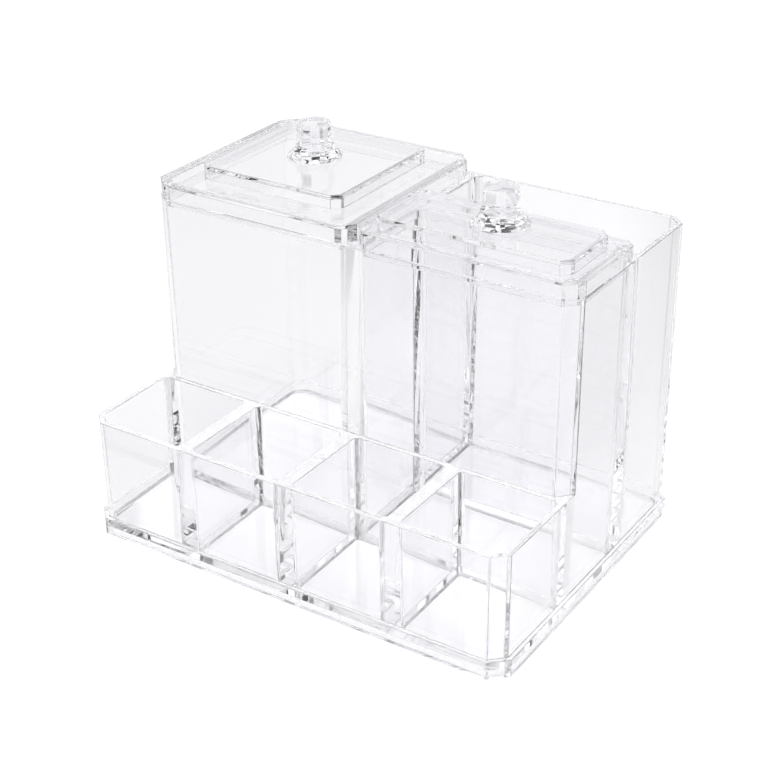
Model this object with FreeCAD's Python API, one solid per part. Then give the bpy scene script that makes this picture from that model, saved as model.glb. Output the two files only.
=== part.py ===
import FreeCAD, Part
import math
import os

# Clear cosmetics organiser with a row of four low pockets in front of three tall ones.
# It is one moulded body, two lift-off lids and a faceted knob glued into each lid.
# Frame: X along the width, Y from front to back, Z up, origin under the middle of the base.

# Body, in millimetres. The outer walls stand upright, and the pockets narrow downwards.
body_width = 190.0
body_depth = 140.2
row_depth = 47.3           # from the front wall back to the front of the tall block
row_height = 51.3
tall_height = 130.3
corner_chamfer = 5.8       # 45 degree flat on every upright outer corner
outer_wall = 2.4           # at the rim
draft_angle = 0.75         # degrees, on each pocket wall
floor_level = 4.8          # top of the pocket floors
floor_thickness = 2.2      # above the recess in the underside

# Base band that stands out round the foot of the body.
plinth_height = 7.6
plinth_overhang = 1.7

# Pockets and the solid dividers between them.
row_pocket_count = 4
row_divider = 6.0          # between two low pockets, at the rim
row_back_ledge = 2.0       # rim left between the low pockets and the tall block
tall_divider = 5.6         # between two tall pockets, at the rim
front_tall_depth = 41.0    # front to back inside the lidded pocket on the right
inner_chamfer = 2.6        # upright inner corners of the tall pockets
row_inner_chamfer = 1.7    # upright inner corners of the low pockets
floor_bevel = 0.8          # round the foot of each pocket wall

# Lids: a skirt on the rim, a step that drops into the pocket, and a raised hollow plateau.
lid_seat_gap = 0.1
lid_skirt_height = 6.8
lid_chamfer = 6.2
lid_inner_chamfer = 3.4    # on the two corners of the right lid that meet the open pocket
lid_side_gap = 0.6         # between the two lids
lid_wall = 2.0
lid_plate = 2.2
lip_depth = 3.0            # how far the lid drops into its pocket
lip_clearance = 0.4
lip_wall = 1.6
plateau_height = 5.3
plateau_chamfer = 3.8
left_border = 13.6         # flat border round the left plateau
right_border = 6.4         # flat border at the ends of the right plateau
right_front_border = 5.4
right_back_border = 7.6

# Knobs: ten-sided, with a hollow-curved foot, a nearly straight shaft and a bevelled flat top.
knob_sides = 10
knob_turn = 10.0           # degrees from X to the first corner
knob_foot_width = 22.0     # across flats, as the next three are
knob_waist_width = 14.1
knob_neck_width = 13.9
knob_table_width = 12.5
knob_foot_land = 0.4
knob_waist_height = 6.2    # where the curved foot runs into the shaft
knob_flare_steps = 5
knob_neck_height = 12.3
knob_height = 14.3
knob_glue_gap = 0.1
spigot_radius = 3.0
spigot_clearance = 0.1
right_knob_shift = (2.6, 1.6)   # from the middle of its lid, right and back

chamfer_growth = 2.0 - math.sqrt(2.0)   # a chamfer's leg grows by this per unit of offset
draft_slope = math.tan(math.radians(draft_angle))
overcut = 1.0

half_width = body_width / 2.0
front_face = -body_depth / 2.0
back_face = body_depth / 2.0
tall_front = front_face + row_depth
inner_wall_chamfer = corner_chamfer - outer_wall * chamfer_growth


def outline(x_low, x_high, y_low, y_high, legs):
    """Corner points of a rectangle, with chamfer legs front left, front right, back right, back left."""
    corners = [(x_low, y_low, 1, 1), (x_high, y_low, -1, 1), (x_high, y_high, -1, -1), (x_low, y_high, 1, -1)]
    points = []
    for index, (x, y, x_in, y_in) in enumerate(corners):
        leg = legs[index]
        if leg <= 0:
            points.append((x, y))
            continue
        along_x = (x + x_in * leg, y)
        along_y = (x, y + y_in * leg)
        points += [along_y, along_x] if index % 2 == 0 else [along_x, along_y]
    return points


def wire_at(points, z):
    corners = [FreeCAD.Vector(x, y, z) for x, y in points]
    return Part.makePolygon(corners + corners[:1])


def prism(points, z_low, z_high):
    return Part.Face(wire_at(points, z_low)).extrude(FreeCAD.Vector(0, 0, z_high - z_low))


def tapered(levels):
    """A solid through (points, z) outlines, joined by flat faces."""
    return Part.makeLoft([wire_at(points, z) for points, z in levels], True, True)


def offset_box(box, amount):
    """A (x_low, x_high, y_low, y_high, legs) box grown by amount all round, or shrunk if negative."""
    x_low, x_high, y_low, y_high, legs = box
    grown = [leg + amount * chamfer_growth if leg > 0 else 0 for leg in legs]
    return (x_low - amount, x_high + amount, y_low - amount, y_high + amount, grown)


def row_mouths():
    """The four low pockets at the rim, from left to right."""
    inside = body_width - 2 * outer_wall
    width = (inside - (row_pocket_count - 1) * row_divider) / row_pocket_count
    y_low = front_face + outer_wall
    y_high = tall_front - row_back_ledge
    mouths = []
    for index in range(row_pocket_count):
        x_low = -half_width + outer_wall + index * (width + row_divider)
        front_left = inner_wall_chamfer if index == 0 else row_inner_chamfer
        front_right = inner_wall_chamfer if index == row_pocket_count - 1 else row_inner_chamfer
        legs = [front_left, front_right, row_inner_chamfer, row_inner_chamfer]
        mouths.append((x_low, x_low + width, y_low, y_high, legs))
    return mouths


def tall_mouths():
    """The three tall pockets at the rim: left, right front and right back."""
    near = tall_front + outer_wall
    far = back_face - outer_wall
    edge = half_width - outer_wall
    middle = tall_divider / 2.0
    split = near + front_tall_depth
    outer = inner_wall_chamfer
    inner = inner_chamfer
    return {
        "left": (-edge, -middle, near, far, [outer, inner, inner, outer]),
        "right_front": (middle, edge, near, split, [inner, outer, inner, inner]),
        "right_back": (middle, edge, split + tall_divider, far, [inner, inner, outer, inner]),
    }


def pocket_space(mouth, rim):
    """The air inside one pocket: tapered, bevelled round the floor, and open above the rim."""
    depth = rim - floor_level
    foot = offset_box(mouth, -depth * draft_slope)
    floor = offset_box(foot, -floor_bevel)
    above = offset_box(mouth, overcut * draft_slope)
    levels = [(outline(*floor), floor_level), (outline(*foot), floor_level + floor_bevel)]
    return tapered(levels + [(outline(*above), rim + overcut)])


def organiser_body():
    legs = [corner_chamfer] * 4
    low_box = (-half_width, half_width, front_face, back_face, legs)
    tall_box = (-half_width, half_width, tall_front, back_face, legs)
    shell = prism(outline(*low_box), 0, row_height)
    shell = shell.fuse(prism(outline(*tall_box), 0, tall_height))
    shell = shell.fuse(prism(outline(*offset_box(low_box, plinth_overhang)), 0, plinth_height)).removeSplitter()
    recess = prism(outline(*offset_box(low_box, -outer_wall)), -overcut, floor_level - floor_thickness)
    spaces = [pocket_space(mouth, row_height) for mouth in row_mouths()]
    spaces += [pocket_space(mouth, tall_height) for mouth in tall_mouths().values()]
    return shell.cut([recess] + spaces).removeSplitter()


def lid_layout():
    """Outer edge, pocket mouth, plateau and knob position of each lid."""
    mouths = tall_mouths()
    near_gap = lid_side_gap / 2.0
    divide = mouths["right_front"][3] + tall_divider / 2.0
    left_edge = (-half_width, -near_gap, tall_front, back_face, [lid_chamfer] * 4)
    right_legs = [lid_chamfer, lid_chamfer, lid_inner_chamfer, lid_inner_chamfer]
    right_edge = (near_gap, half_width, tall_front, divide, right_legs)
    left_plateau = plateau_box(left_edge, left_border, left_border, left_border)
    right_plateau = plateau_box(right_edge, right_border, right_front_border, right_back_border)
    left_spot = centre_of(left_edge)
    right_spot = centre_of(right_edge)
    right_spot = (right_spot[0] + right_knob_shift[0], right_spot[1] + right_knob_shift[1])
    return {
        "left": (left_edge, mouths["left"], left_plateau, left_spot),
        "right": (right_edge, mouths["right_front"], right_plateau, right_spot),
    }


def plateau_box(edge_box, side, front, back):
    x_low, x_high, y_low, y_high, _ = edge_box
    return (x_low + side, x_high - side, y_low + front, y_high - back, [plateau_chamfer] * 4)


def centre_of(box):
    return ((box[0] + box[1]) / 2.0, (box[2] + box[3]) / 2.0)


seat_level = tall_height + lid_seat_gap
border_level = seat_level + lid_skirt_height
plateau_level = border_level + plateau_height


def lid(edge_box, mouth, plateau, knob_spot):
    lip = offset_box(mouth, -lip_clearance)
    lip_bottom = tall_height - lip_depth
    shell = prism(outline(*edge_box), seat_level, border_level)
    shell = shell.fuse(prism(outline(*plateau), border_level, plateau_level))
    shell = shell.fuse(prism(outline(*lip), lip_bottom, border_level)).removeSplitter()
    lip_hollow = prism(outline(*offset_box(lip, -lip_wall)), lip_bottom - overcut, border_level - lid_plate)
    plateau_hollow = prism(outline(*offset_box(plateau, -lid_wall)), lip_bottom - overcut,
                           plateau_level - lid_plate)
    socket = Part.makeCylinder(spigot_radius + spigot_clearance, lid_plate + 2 * overcut,
                               FreeCAD.Vector(*knob_spot, plateau_level - lid_plate - overcut))
    return shell.cut([lip_hollow, plateau_hollow, socket]).removeSplitter()


def faceted_ring(width):
    """Corners of a regular polygon of the given width across flats."""
    radius = width / 2.0 / math.cos(math.pi / knob_sides)
    turn = math.radians(knob_turn)
    angles = [turn + 2.0 * math.pi * index / knob_sides for index in range(knob_sides)]
    return [(radius * math.cos(angle), radius * math.sin(angle)) for angle in angles]


def knob(spot):
    steps = [(knob_foot_width, 0)]
    for index in range(knob_flare_steps + 1):
        part = index / knob_flare_steps
        width = knob_waist_width + (knob_foot_width - knob_waist_width) * (1.0 - part) ** 2
        steps.append((width, knob_foot_land + (knob_waist_height - knob_foot_land) * part))
    steps += [(knob_neck_width, knob_neck_height), (knob_table_width, knob_height)]
    body = tapered([(faceted_ring(width), level) for width, level in steps])
    depth = lid_plate + knob_glue_gap
    spigot = Part.makeCylinder(spigot_radius, depth, FreeCAD.Vector(0, 0, -depth))
    body = body.fuse(spigot).removeSplitter()
    body.translate(FreeCAD.Vector(*spot, plateau_level + knob_glue_gap))
    return body


os.makedirs("parts", exist_ok=True)
pieces = {"organiser_body": organiser_body()}
for side, (edge_box, mouth, plateau, knob_spot) in lid_layout().items():
    pieces[side + "_lid"] = lid(edge_box, mouth, plateau, knob_spot)
    pieces[side + "_knob"] = knob(knob_spot)
for name, shape in pieces.items():
    solid = shape.Solids[0] if shape.ShapeType == "Compound" else shape
    solid.exportStep("parts/" + name + ".step")
    box = solid.BoundBox
    print(name, shape.ShapeType, len(shape.Solids), "valid", solid.isValid(), "volume", round(solid.Volume, 1),
          "size", round(box.XLength, 2), round(box.YLength, 2), round(box.ZLength, 2))
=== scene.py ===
import math

import bpy
from mathutils import Matrix, Vector


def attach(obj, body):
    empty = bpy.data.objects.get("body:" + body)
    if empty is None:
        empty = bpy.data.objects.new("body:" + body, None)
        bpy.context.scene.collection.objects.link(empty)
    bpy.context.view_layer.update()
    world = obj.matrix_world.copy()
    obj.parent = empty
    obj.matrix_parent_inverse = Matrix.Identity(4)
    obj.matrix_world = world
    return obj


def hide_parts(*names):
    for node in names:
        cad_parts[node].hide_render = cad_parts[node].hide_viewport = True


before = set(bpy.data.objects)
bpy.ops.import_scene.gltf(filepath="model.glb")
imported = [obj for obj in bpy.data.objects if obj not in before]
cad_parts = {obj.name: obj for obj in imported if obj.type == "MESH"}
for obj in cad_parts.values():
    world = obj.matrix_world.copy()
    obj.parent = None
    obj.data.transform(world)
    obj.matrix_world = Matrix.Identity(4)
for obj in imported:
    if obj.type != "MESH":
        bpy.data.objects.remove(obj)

scene = bpy.context.scene
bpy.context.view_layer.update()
mm = 0.001


# sRGB hex to the linear colour that shaders use
def hexColour(code):
    parts = [int(code[i:i + 2], 16) / 255 for i in (1, 3, 5)]
    linear = [c / 12.92 if c <= 0.04045 else ((c + 0.055) / 1.055) ** 2.4 for c in parts]
    return (*linear, 1)


# adds a node with its settings, input values and links
def addNode(tree, kind, settings=None, values=None, links=None):
    node = tree.nodes.new(kind)
    for key, value in (settings or {}).items():
        setattr(node, key, value)
    for key, value in (values or {}).items():
        node.inputs[key].default_value = value
    for key, source in (links or {}).items():
        tree.links.new(source, node.inputs[key])
    return node


# direction from the object towards a place in the room, azimuth going from the front to the right
def roomDirection(azimuth, elevation):
    az = math.radians(azimuth)
    el = math.radians(elevation)
    return (math.sin(az) * math.cos(el), -math.cos(az) * math.cos(el), math.sin(el))


cameraSetup = {
    "azimuth": 33.626,      # degrees round from the front, to the right
    "elevation": 27.772,
    "roll": -0.610,
    "distance": 0.660034,   # metres
    "aim": (1.371 * mm, -4.704 * mm, 67.071 * mm),
    "lens": 79.01,          # mm
    "sensor": 36,           # mm
    "nearest": 0.01,        # metres
}


def makeCamera(setup):
    back = Vector(roomDirection(setup["azimuth"], setup["elevation"]))
    right = (-back).cross(Vector((0, 0, 1))).normalized()
    up = right.cross(-back)
    turn = math.radians(setup["roll"])
    rolledRight = right * math.cos(turn) + up * math.sin(turn)
    rolledUp = up * math.cos(turn) - right * math.sin(turn)
    place = Matrix((rolledRight, rolledUp, back)).transposed().to_4x4()
    place.translation = Vector(setup["aim"]) + back * setup["distance"]
    data = bpy.data.cameras.new("camera")
    data.lens = setup["lens"]
    data.sensor_width = setup["sensor"]
    data.clip_start = setup["nearest"]
    camera = bpy.data.objects.new("camera", data)
    camera.matrix_world = place
    scene.collection.objects.link(camera)
    scene.camera = camera


makeCamera(cameraSetup)
print("camera placed")

# a ray crosses many clear walls before it gets out
wallCrossings = 40
scene.cycles.max_bounces = wallCrossings
scene.cycles.transmission_bounces = wallCrossings
scene.cycles.glossy_bounces = wallCrossings
scene.cycles.transparent_max_bounces = wallCrossings

# injection-moulded clear polystyrene: glass-bright faces straight from a polished mould, a faint
# grey in the depth of the walls, and slow swells that bend what is seen through them
clearPlastic = {
    "tint": "#FBFBFC",
    "depthTint": "#C9C8CC",
    "depthDensity": 1.0,                # per metre
    "ior": 1.59,
    "roughness": 0.0,
    "waveSize": 22,                     # mm, between the swells of a moulded wall
    "waveHeight": 0.012,                # mm
    "waveDetail": 1.0,
    "shadow": (0.90, 0.90, 0.905, 1),   # light that each face lets into the shadow
}


def makeClearPlastic(name, look):
    material = bpy.data.materials.new(name)
    material.use_nodes = True
    tree = material.node_tree
    tree.nodes.clear()
    place = addNode(tree, "ShaderNodeTexCoord")
    waves = addNode(tree, "ShaderNodeTexNoise", values={
        "Scale": 1 / (look["waveSize"] * mm), "Detail": look["waveDetail"]},
        links={"Vector": place.outputs["Object"]})
    bump = addNode(tree, "ShaderNodeBump", values={
        "Strength": 1.0, "Distance": look["waveHeight"] * mm}, links={"Height": waves.outputs["Fac"]})
    shader = addNode(tree, "ShaderNodeBsdfPrincipled", values={
        "Base Color": hexColour(look["tint"]), "Roughness": look["roughness"], "IOR": look["ior"],
        "Transmission Weight": 1.0}, links={"Normal": bump.outputs["Normal"]})
    see = addNode(tree, "ShaderNodeBsdfTransparent", values={"Color": look["shadow"]})
    path = addNode(tree, "ShaderNodeLightPath")
    mix = addNode(tree, "ShaderNodeMixShader", links={
        "Fac": path.outputs["Is Shadow Ray"], 1: shader.outputs[0], 2: see.outputs[0]})
    depth = addNode(tree, "ShaderNodeVolumeAbsorption", values={
        "Color": hexColour(look["depthTint"]), "Density": look["depthDensity"]})
    addNode(tree, "ShaderNodeOutputMaterial", links={
        "Surface": mix.outputs[0], "Volume": depth.outputs[0]})
    return material


mouldedPolystyrene = makeClearPlastic("clearMouldedPolystyrene", clearPlastic)
print("clear plastic made")

mouldFinish = {
    "weld": 0.002,          # mm, corners closer than this become one
    "flatWithin": 0.3,      # degrees, faces closer than this become one
    "breakAbove": 25,       # degrees, edges sharper than this are rounded
    "segments": 2,
    "flatWeight": 100,      # large faces keep flat reflections
}


# takes a bare moulding from the frame, breaks its edges and gives it the plastic
def polishMoulding(name, look):
    bpy.ops.object.select_all(action="DESELECT")
    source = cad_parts[look["node"]]
    piece = bpy.data.objects.new(name, source.data.copy())
    scene.collection.objects.link(piece)
    piece.select_set(True)
    bpy.context.view_layer.objects.active = piece
    bpy.ops.object.mode_set(mode="EDIT")
    bpy.ops.mesh.select_all(action="SELECT")
    bpy.ops.mesh.remove_doubles(threshold=mouldFinish["weld"] * mm)
    bpy.ops.mesh.dissolve_limited(angle_limit=math.radians(mouldFinish["flatWithin"]))
    bpy.ops.object.mode_set(mode="OBJECT")
    bevel = piece.modifiers.new("softEdges", "BEVEL")
    bevel.width = look["edgeRadius"] * mm
    bevel.segments = mouldFinish["segments"]
    bevel.limit_method = "ANGLE"
    bevel.angle_limit = math.radians(mouldFinish["breakAbove"])
    bevel.use_clamp_overlap = True
    bpy.ops.object.modifier_apply(modifier=bevel.name)
    bpy.ops.object.shade_smooth_by_angle(angle=math.radians(look["smoothAngle"]))
    flat = piece.modifiers.new("flatFaces", "WEIGHTED_NORMAL")
    flat.weight = mouldFinish["flatWeight"]
    flat.keep_sharp = True
    bpy.ops.object.modifier_apply(modifier=flat.name)
    piece.data.materials.clear()
    piece.data.materials.append(mouldedPolystyrene)
    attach(piece, look["body"])
    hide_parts(look["node"])
    print(name, len(piece.data.polygons), "faces")


organiserBody = {
    "node": "organiser_body",
    "body": "organiser",
    "slot": "body",
    "edgeRadius": 0.35,     # mm
    "smoothAngle": 60,      # degrees, below which an edge is shaded smooth
}
polishMoulding("organiserBody", organiserBody)

leftLid = {
    "node": "left_lid",
    "body": "left_lid",
    "slot": "lids",
    "edgeRadius": 0.3,
    "smoothAngle": 60,
}
polishMoulding("leftLid", leftLid)

rightLid = {
    "node": "right_lid",
    "body": "right_lid",
    "slot": "lids",
    "edgeRadius": 0.3,
    "smoothAngle": 60,
}
polishMoulding("rightLid", rightLid)

leftKnob = {
    "node": "left_knob",
    "body": "left_lid",
    "slot": "knobs",
    "edgeRadius": 0.12,     # crisp facets
    "smoothAngle": 20,
}
polishMoulding("leftKnob", leftKnob)

rightKnob = {
    "node": "right_knob",
    "body": "right_lid",
    "slot": "knobs",
    "edgeRadius": 0.12,
    "smoothAngle": 20,
}
polishMoulding("rightKnob", rightKnob)

# white paper on a darker table, darker away from the object; the table's further darkening with
# distance is painted shade standing in for light falling off, which the clear walls pick up as soft
# greys
paperSheet = {
    "across": (0.833, 0.553, 0),    # direction across the sheet
    "halfWidth": 0.13,              # metres
    "soft": 0.09,                   # metres, width of its shaded border
    "table": 0.76,                  # level of the table beside it
    "middle": 0.945,                # level of the sheet
    "far": 0.72,                    # level at the distance farOff, on top of the table's: painted shade where the light falls off
    "farOff": 0.6,                  # metres
    "paint": 0.8,                   # share of the light that it scatters
    "glow": 0.45,                   # light of its own, which whitens it
    "glowTint": (1, 0.985, 1, 1),
    "size": 8,                      # metres
    "sink": 0.1 * mm,               # metres below the foot of the object
}


def makePaper(name, look):
    material = bpy.data.materials.new(name)
    material.use_nodes = True
    tree = material.node_tree
    tree.nodes.clear()
    path = addNode(tree, "ShaderNodeLightPath")
    where = addNode(tree, "ShaderNodeTexCoord")
    aside = addNode(tree, "ShaderNodeVectorMath", {"operation": "DOT_PRODUCT"}, {1: look["across"]},
                    {0: where.outputs["Object"]})
    offMiddle = addNode(tree, "ShaderNodeMath", {"operation": "ABSOLUTE"},
                        links={0: aside.outputs["Value"]})
    border = addNode(tree, "ShaderNodeMapRange", {"interpolation_type": "SMOOTHSTEP"},
                     {"From Min": look["halfWidth"], "From Max": look["halfWidth"] + look["soft"],
                      "To Min": 1.0, "To Max": look["table"]}, {"Value": offMiddle.outputs[0]})
    # painted shade: the table grows darker further from the object, standing in for light falling off
    # across the set
    paintedFalloff = addNode(tree, "ShaderNodeMapRange", {"interpolation_type": "LINEAR"},
                   {"From Min": look["halfWidth"], "From Max": look["farOff"],
                    "To Min": look["middle"], "To Max": look["far"]}, {"Value": offMiddle.outputs[0]})
    level = addNode(tree, "ShaderNodeMath", {"operation": "MULTIPLY"},
                    links={0: border.outputs[0], 1: paintedFalloff.outputs[0]})
    # plain white where nothing stands in front of it
    seen = addNode(tree, "ShaderNodeMath", {"operation": "MAXIMUM"},
                   links={0: level.outputs[0], 1: path.outputs["Is Camera Ray"]})
    shade = addNode(tree, "ShaderNodeMath", {"operation": "MULTIPLY"}, {1: look["paint"]},
                    {0: seen.outputs[0]})
    lit = addNode(tree, "ShaderNodeMath", {"operation": "MULTIPLY"}, {1: look["glow"]},
                  {0: seen.outputs[0]})
    matt = addNode(tree, "ShaderNodeBsdfDiffuse", links={"Color": shade.outputs[0]})
    glow = addNode(tree, "ShaderNodeEmission", values={"Color": look["glowTint"]},
                   links={"Strength": lit.outputs[0]})
    both = addNode(tree, "ShaderNodeAddShader", links={0: matt.outputs[0], 1: glow.outputs[0]})
    addNode(tree, "ShaderNodeOutputMaterial", links={"Surface": both.outputs[0]})
    return material


bpy.ops.object.select_all(action="DESELECT")
bpy.ops.mesh.primitive_plane_add(size=paperSheet["size"], location=(0, 0, -paperSheet["sink"]))
floor = bpy.context.object
floor.name = "floor"
floor.data.materials.append(makePaper("whitePaper", paperSheet))
print("floor laid")

# what stands round the set, each on top of those before it: degrees round from the front, degrees
# up, reach in degrees, level where 1 is white, and softness of its edge
studioPanels = [
    (2, 30, 30, 1.75, 0.10),        # softbox in front
    (300, 32, 34, 1.4, 0.10),       # softbox on the left
    (222, 26, 22, 0.92, 0.12),      # pale cloth at the back left
    (137, 29, 14, 0.0, 0.02),       # black flags
    (143, 9, 8, 0.0, 0.02),
    (302, 9, 8, 0.0, 0.02),
    (188, 12, 6, 0.0, 0.02),
    (224, 48, 11, 1.5, 0.05),       # small softbox above the cloth
    (268, 64, 9, 0.5, 0.02),        # grey flag
    (181, 46, 4, 0.0, 0.008),       # small black flags
    (236, 50, 5, 0.0, 0.008),
    (262, 38, 5, 0.0, 0.008),
    (96, 38, 4, 0.0, 0.008),
    (252, 43, 5, 0.0, 0.008),
    (268, 50, 6, 0.0, 0.008),
    (160, 33, 4, 0.0, 0.008),
]

# upright black gaps between the softboxes: degrees round from the front, half width in degrees
studioGaps = [
    (18, 1.6), (74, 1.6), (106, 2.0), (166, 1.8),
    (187, 1.4), (247, 1.8), (279, 2.2), (322, 1.4),
]

studioLight = {
    "bare": (1.0, 1.0, 1.005, 1),   # room between the panels
    "horizon": (0.02, 0.06),        # panels fade in over these heights, as the sine of the elevation
    "wanderScale": 5.0,             # larger makes the ragged edges finer
    "wanderDetail": 1.0,
    "panelWander": 0.35,            # how far the edges stray
    "gapWander": 0.12,
    "gapAhead": 0.25,               # a gap shows on its own side only, down to this cosine
    "coolness": 1.02,               # blue of a panel against its red and green
    "scattered": 0.6,               # level that falls on matt surfaces
}


def makeStudio(name, look):
    world = bpy.data.worlds.new(name)
    scene.world = world
    world.use_nodes = True
    tree = world.node_tree
    tree.nodes.clear()
    path = addNode(tree, "ShaderNodeLightPath")
    where = addNode(tree, "ShaderNodeTexCoord")
    split = addNode(tree, "ShaderNodeSeparateXYZ", links={"Vector": where.outputs["Generated"]})
    above = addNode(tree, "ShaderNodeMapRange", {"interpolation_type": "SMOOTHSTEP"},
                    {"From Min": look["horizon"][0], "From Max": look["horizon"][1]},
                    {"Value": split.outputs["Z"]})
    wander = addNode(tree, "ShaderNodeTexNoise", values={
        "Scale": look["wanderScale"], "Detail": look["wanderDetail"]},
        links={"Vector": where.outputs["Generated"]})
    bare = addNode(tree, "ShaderNodeRGB")
    bare.outputs[0].default_value = look["bare"]
    colour = bare.outputs[0]
    for azimuth, elevation, reach, level, softness in studioPanels:
        towards = addNode(tree, "ShaderNodeVectorMath", {"operation": "DOT_PRODUCT"},
                          {1: roomDirection(azimuth, elevation)}, {0: where.outputs["Generated"]})
        ragged = addNode(tree, "ShaderNodeMath", {"operation": "MULTIPLY_ADD"},
                         {1: look["panelWander"]},
                         {0: wander.outputs["Fac"], 2: towards.outputs["Value"]})
        edge = math.cos(math.radians(reach)) + look["panelWander"] / 2
        panel = addNode(tree, "ShaderNodeMapRange", {"interpolation_type": "SMOOTHSTEP"},
                        {"From Min": edge - softness / 2, "From Max": edge + softness / 2},
                        {"Value": ragged.outputs[0]})
        raised = addNode(tree, "ShaderNodeMath", {"operation": "MULTIPLY"},
                         links={0: above.outputs[0], 1: panel.outputs[0]})
        # inputs 6 and 7 of the mix are its two colours, and output 2 is the mixed one
        hung = addNode(tree, "ShaderNodeMix", {"data_type": "RGBA"},
                       {7: (level, level, level * look["coolness"], 1)},
                       {0: raised.outputs[0], 6: colour})
        colour = hung.outputs[2]
    for azimuth, halfWidth in studioGaps:
        aside = addNode(tree, "ShaderNodeVectorMath", {"operation": "DOT_PRODUCT"},
                        {1: roomDirection(azimuth + 90, 0)}, {0: where.outputs["Generated"]})
        bent = addNode(tree, "ShaderNodeMath", {"operation": "MULTIPLY_ADD"}, {1: look["gapWander"]},
                       {0: wander.outputs["Fac"], 2: aside.outputs["Value"]})
        thin = addNode(tree, "ShaderNodeMath", {"operation": "COMPARE"},
                       {1: look["gapWander"] / 2, 2: math.sin(math.radians(halfWidth))},
                       {0: bent.outputs[0]})
        towards = addNode(tree, "ShaderNodeVectorMath", {"operation": "DOT_PRODUCT"},
                          {1: roomDirection(azimuth, 0)}, {0: where.outputs["Generated"]})
        ahead = addNode(tree, "ShaderNodeMath", {"operation": "GREATER_THAN"},
                        {1: look["gapAhead"]}, {0: towards.outputs["Value"]})
        gap = addNode(tree, "ShaderNodeMath", {"operation": "MULTIPLY"},
                      links={0: thin.outputs[0], 1: ahead.outputs[0]})
        raised = addNode(tree, "ShaderNodeMath", {"operation": "MULTIPLY"},
                         links={0: above.outputs[0], 1: gap.outputs[0]})
        hung = addNode(tree, "ShaderNodeMix", {"data_type": "RGBA"}, {7: (0, 0, 0, 1)},
                       {0: raised.outputs[0], 6: colour})
        colour = hung.outputs[2]
    # the panels show in the clear plastic, matt surfaces get an even light, and behind all is white
    shown = addNode(tree, "ShaderNodeBackground", links={"Color": colour})
    even = addNode(tree, "ShaderNodeBackground",
                   values={"Color": (1, 1, 1, 1), "Strength": look["scattered"]})
    white = addNode(tree, "ShaderNodeBackground", values={"Color": (1, 1, 1, 1)})
    scattered = addNode(tree, "ShaderNodeMath", {"operation": "MINIMUM"}, {1: 1.0},
                        {0: path.outputs["Diffuse Depth"]})
    lighting = addNode(tree, "ShaderNodeMixShader", links={
        "Fac": scattered.outputs[0], 1: shown.outputs[0], 2: even.outputs[0]})
    room = addNode(tree, "ShaderNodeMixShader", links={
        "Fac": path.outputs["Is Camera Ray"], 1: lighting.outputs[0], 2: white.outputs[0]})
    addNode(tree, "ShaderNodeOutputWorld", links={"Surface": room.outputs[0]})


makeStudio("studio", studioLight)

softKey = {
    "energy": 0.6,
    "angle": 8,                     # degrees, as wide as it looks from the object
    "direction": (-0.25, 0.35, -1.0),
}
sun = bpy.data.lights.new("softKey", "SUN")
sun.angle = math.radians(softKey["angle"])
sun.energy = softKey["energy"]
lamp = bpy.data.objects.new("softKey", sun)
lamp.rotation_euler = Vector(softKey["direction"]).to_track_quat("-Z", "Y").to_euler()
scene.collection.objects.link(lamp)
print("studio lit")

scene.view_settings.view_transform = "Standard"
